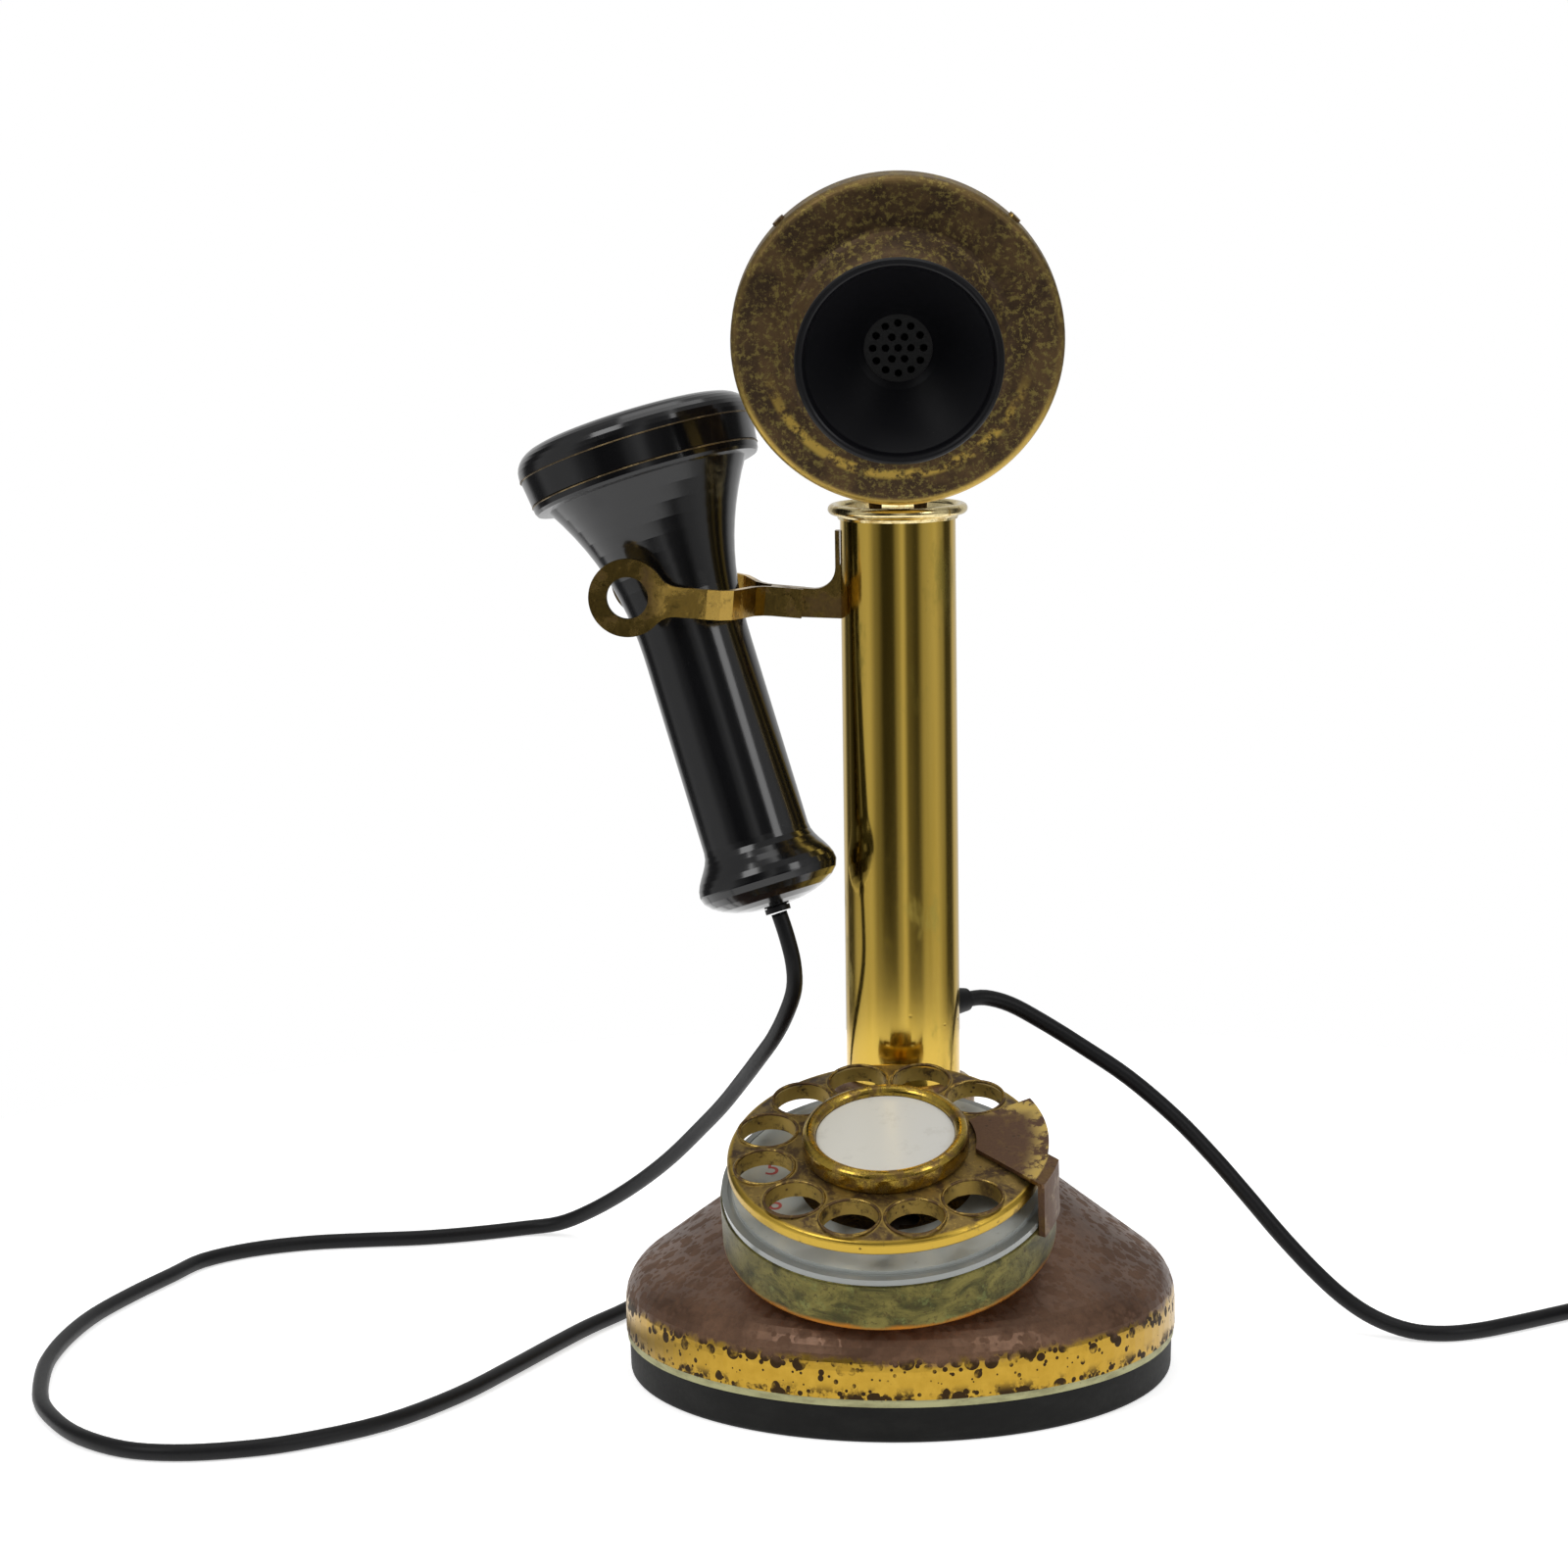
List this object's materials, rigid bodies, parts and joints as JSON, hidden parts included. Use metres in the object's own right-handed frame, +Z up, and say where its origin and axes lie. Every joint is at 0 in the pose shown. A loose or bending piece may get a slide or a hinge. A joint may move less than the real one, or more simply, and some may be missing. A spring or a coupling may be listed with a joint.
{
  "type": "telephone",
  "caption": "Candlestick desk telephone: weighted base with sloping finger dial, tall column, tilting transmitter, hook with lift-off receiver and two cords.",
  "frame": {"origin": "centre of the base's underside, on the table", "axes": "+Z up, -Y the dial and mouthpiece side, +X to the right of someone facing the dial"},
  "size_m": [0.4694, 0.2142, 0.3034],
  "materials": {
    "foot_rubber": "matt black moulded foot",
    "seal_cream": "pale yellow-green sealing band",
    "shell_bronze": "brown patinated brass, polished bright at the rim",
    "steel": "plain steel",
    "aged_brass": "aged brass with brown and green patina",
    "iron": "cast iron weight",
    "brown_phenolic": "dark phenolic insulator",
    "polished_brass": "polished brass with dark pits",
    "pale_brass": "pale polished brass",
    "verdigris_brass": "aged brass with green patina",
    "dark_patina": "dark brown mottled patina on brass",
    "enamel": "white enamelled number plate",
    "cord_rubber": "black rubber cord",
    "tie_grey": "grey tie band",
    "bakelite": "black moulded phenolic, glossy",
    "card": "blank white card",
    "hook_brass": "satin brass",
    "mouth_black": "black moulded phenolic, satin"
  },
  "bodies": {
    "root": {"foot_ring": "foot_rubber", "gasket_band": "seal_cream", "base_shell": "shell_bronze", "base_plate": "steel", "base_screw_1": "aged_brass", "base_screw_2": "aged_brass", "base_screw_3": "aged_brass", "ballast": "iron", "terminal_block": "brown_phenolic", "terminal_screw_1": "aged_brass", "terminal_screw_2": "aged_brass", "neck_collar": "shell_bronze", "column_tube": "polished_brass", "column_collar": "pale_brass", "perch": "aged_brass", "transmitter_pivot": "aged_brass", "hook_pivot_pin": "steel", "hook_bracket": "aged_brass", "contact_leaf_1": "aged_brass", "contact_leaf_2": "aged_brass", "contact_block": "brown_phenolic", "dial_cup": "verdigris_brass", "dial_saddle": "dark_patina", "mechanism_plate": "steel", "mechanism_bracket": "aged_brass", "number_plate": "enamel", "finger_stop": "aged_brass", "governor_drum": "aged_brass", "receiver_cord_grommet": "cord_rubber", "line_cord_grommet": "cord_rubber", "receiver_cord_tube": "cord_rubber", "line_cord_tube": "cord_rubber", "line_cord_coil": "cord_rubber", "cord_tie": "tie_grey", "line_cord_tail": "cord_rubber", "line_plug": "bakelite"},
    "dial": {"dial_shaft": "steel", "main_gear": "aged_brass", "finger_wheel": "aged_brass", "hub_ring": "polished_brass", "number_card": "card"},
    "governor": {"pinion": "aged_brass", "governor_rotor": "steel"},
    "hook": {"hook_lever": "hook_brass", "hook_front_prong": "hook_brass", "hook_back_prong": "hook_brass", "hook_rivet": "hook_brass"},
    "transmitter": {"transmitter_lug": "dark_patina", "transmitter_cup": "dark_patina", "faceplate": "dark_patina", "faceplate_screw_1": "aged_brass", "faceplate_screw_2": "aged_brass", "mouthpiece": "mouth_black", "mouth_grille": "mouth_black", "carbon_capsule": "aged_brass"},
    "receiver": {"receiver_shell": "bakelite", "receiver_cap": "bakelite", "receiver_diaphragm": "steel", "receiver_magnet": "steel", "receiver_tail": "cord_rubber"}
  },
  "joints": [
    {"name": "dial_turn", "type": "hinge", "parent": "root", "child": "dial", "pos_m": [0, -0.041, 0.0665], "axis": [0, 0.3502, -0.9367], "range_deg": [0, 325], "stiffness_Nm_per_rad": 0.004},
    {"name": "governor_spin", "type": "hinge", "parent": "root", "child": "governor", "pos_m": [-0.03, -0.041, 0.0665], "axis": [0, 0.3502, -0.9367], "range_deg": [-1300, 0]},
    {"name": "receiver_lift", "type": "slide", "parent": "root", "child": "receiver", "axis": [-0.7027, 0.1114, 0.7027], "range_m": [0, 0.08]},
    {"name": "hook_rise", "type": "hinge", "parent": "root", "child": "hook", "pos_m": [0.004, 0.02, 0.2], "axis": [0, 1, 0], "range_deg": [0, 6.2]},
    {"name": "transmitter_tilt", "type": "hinge", "parent": "root", "child": "transmitter", "pos_m": [0.00026, 0.01701, 0.225], "axis": [0.9962, 0.0872, 0], "range_deg": [-20, 5]}
  ],
  "couplings": [
    {"joint": "governor_spin", "follows": "dial_turn", "ratio": -4},
    {"joint": "hook_rise", "follows": "receiver_lift", "rad_per_m": 1.3}
  ]
}
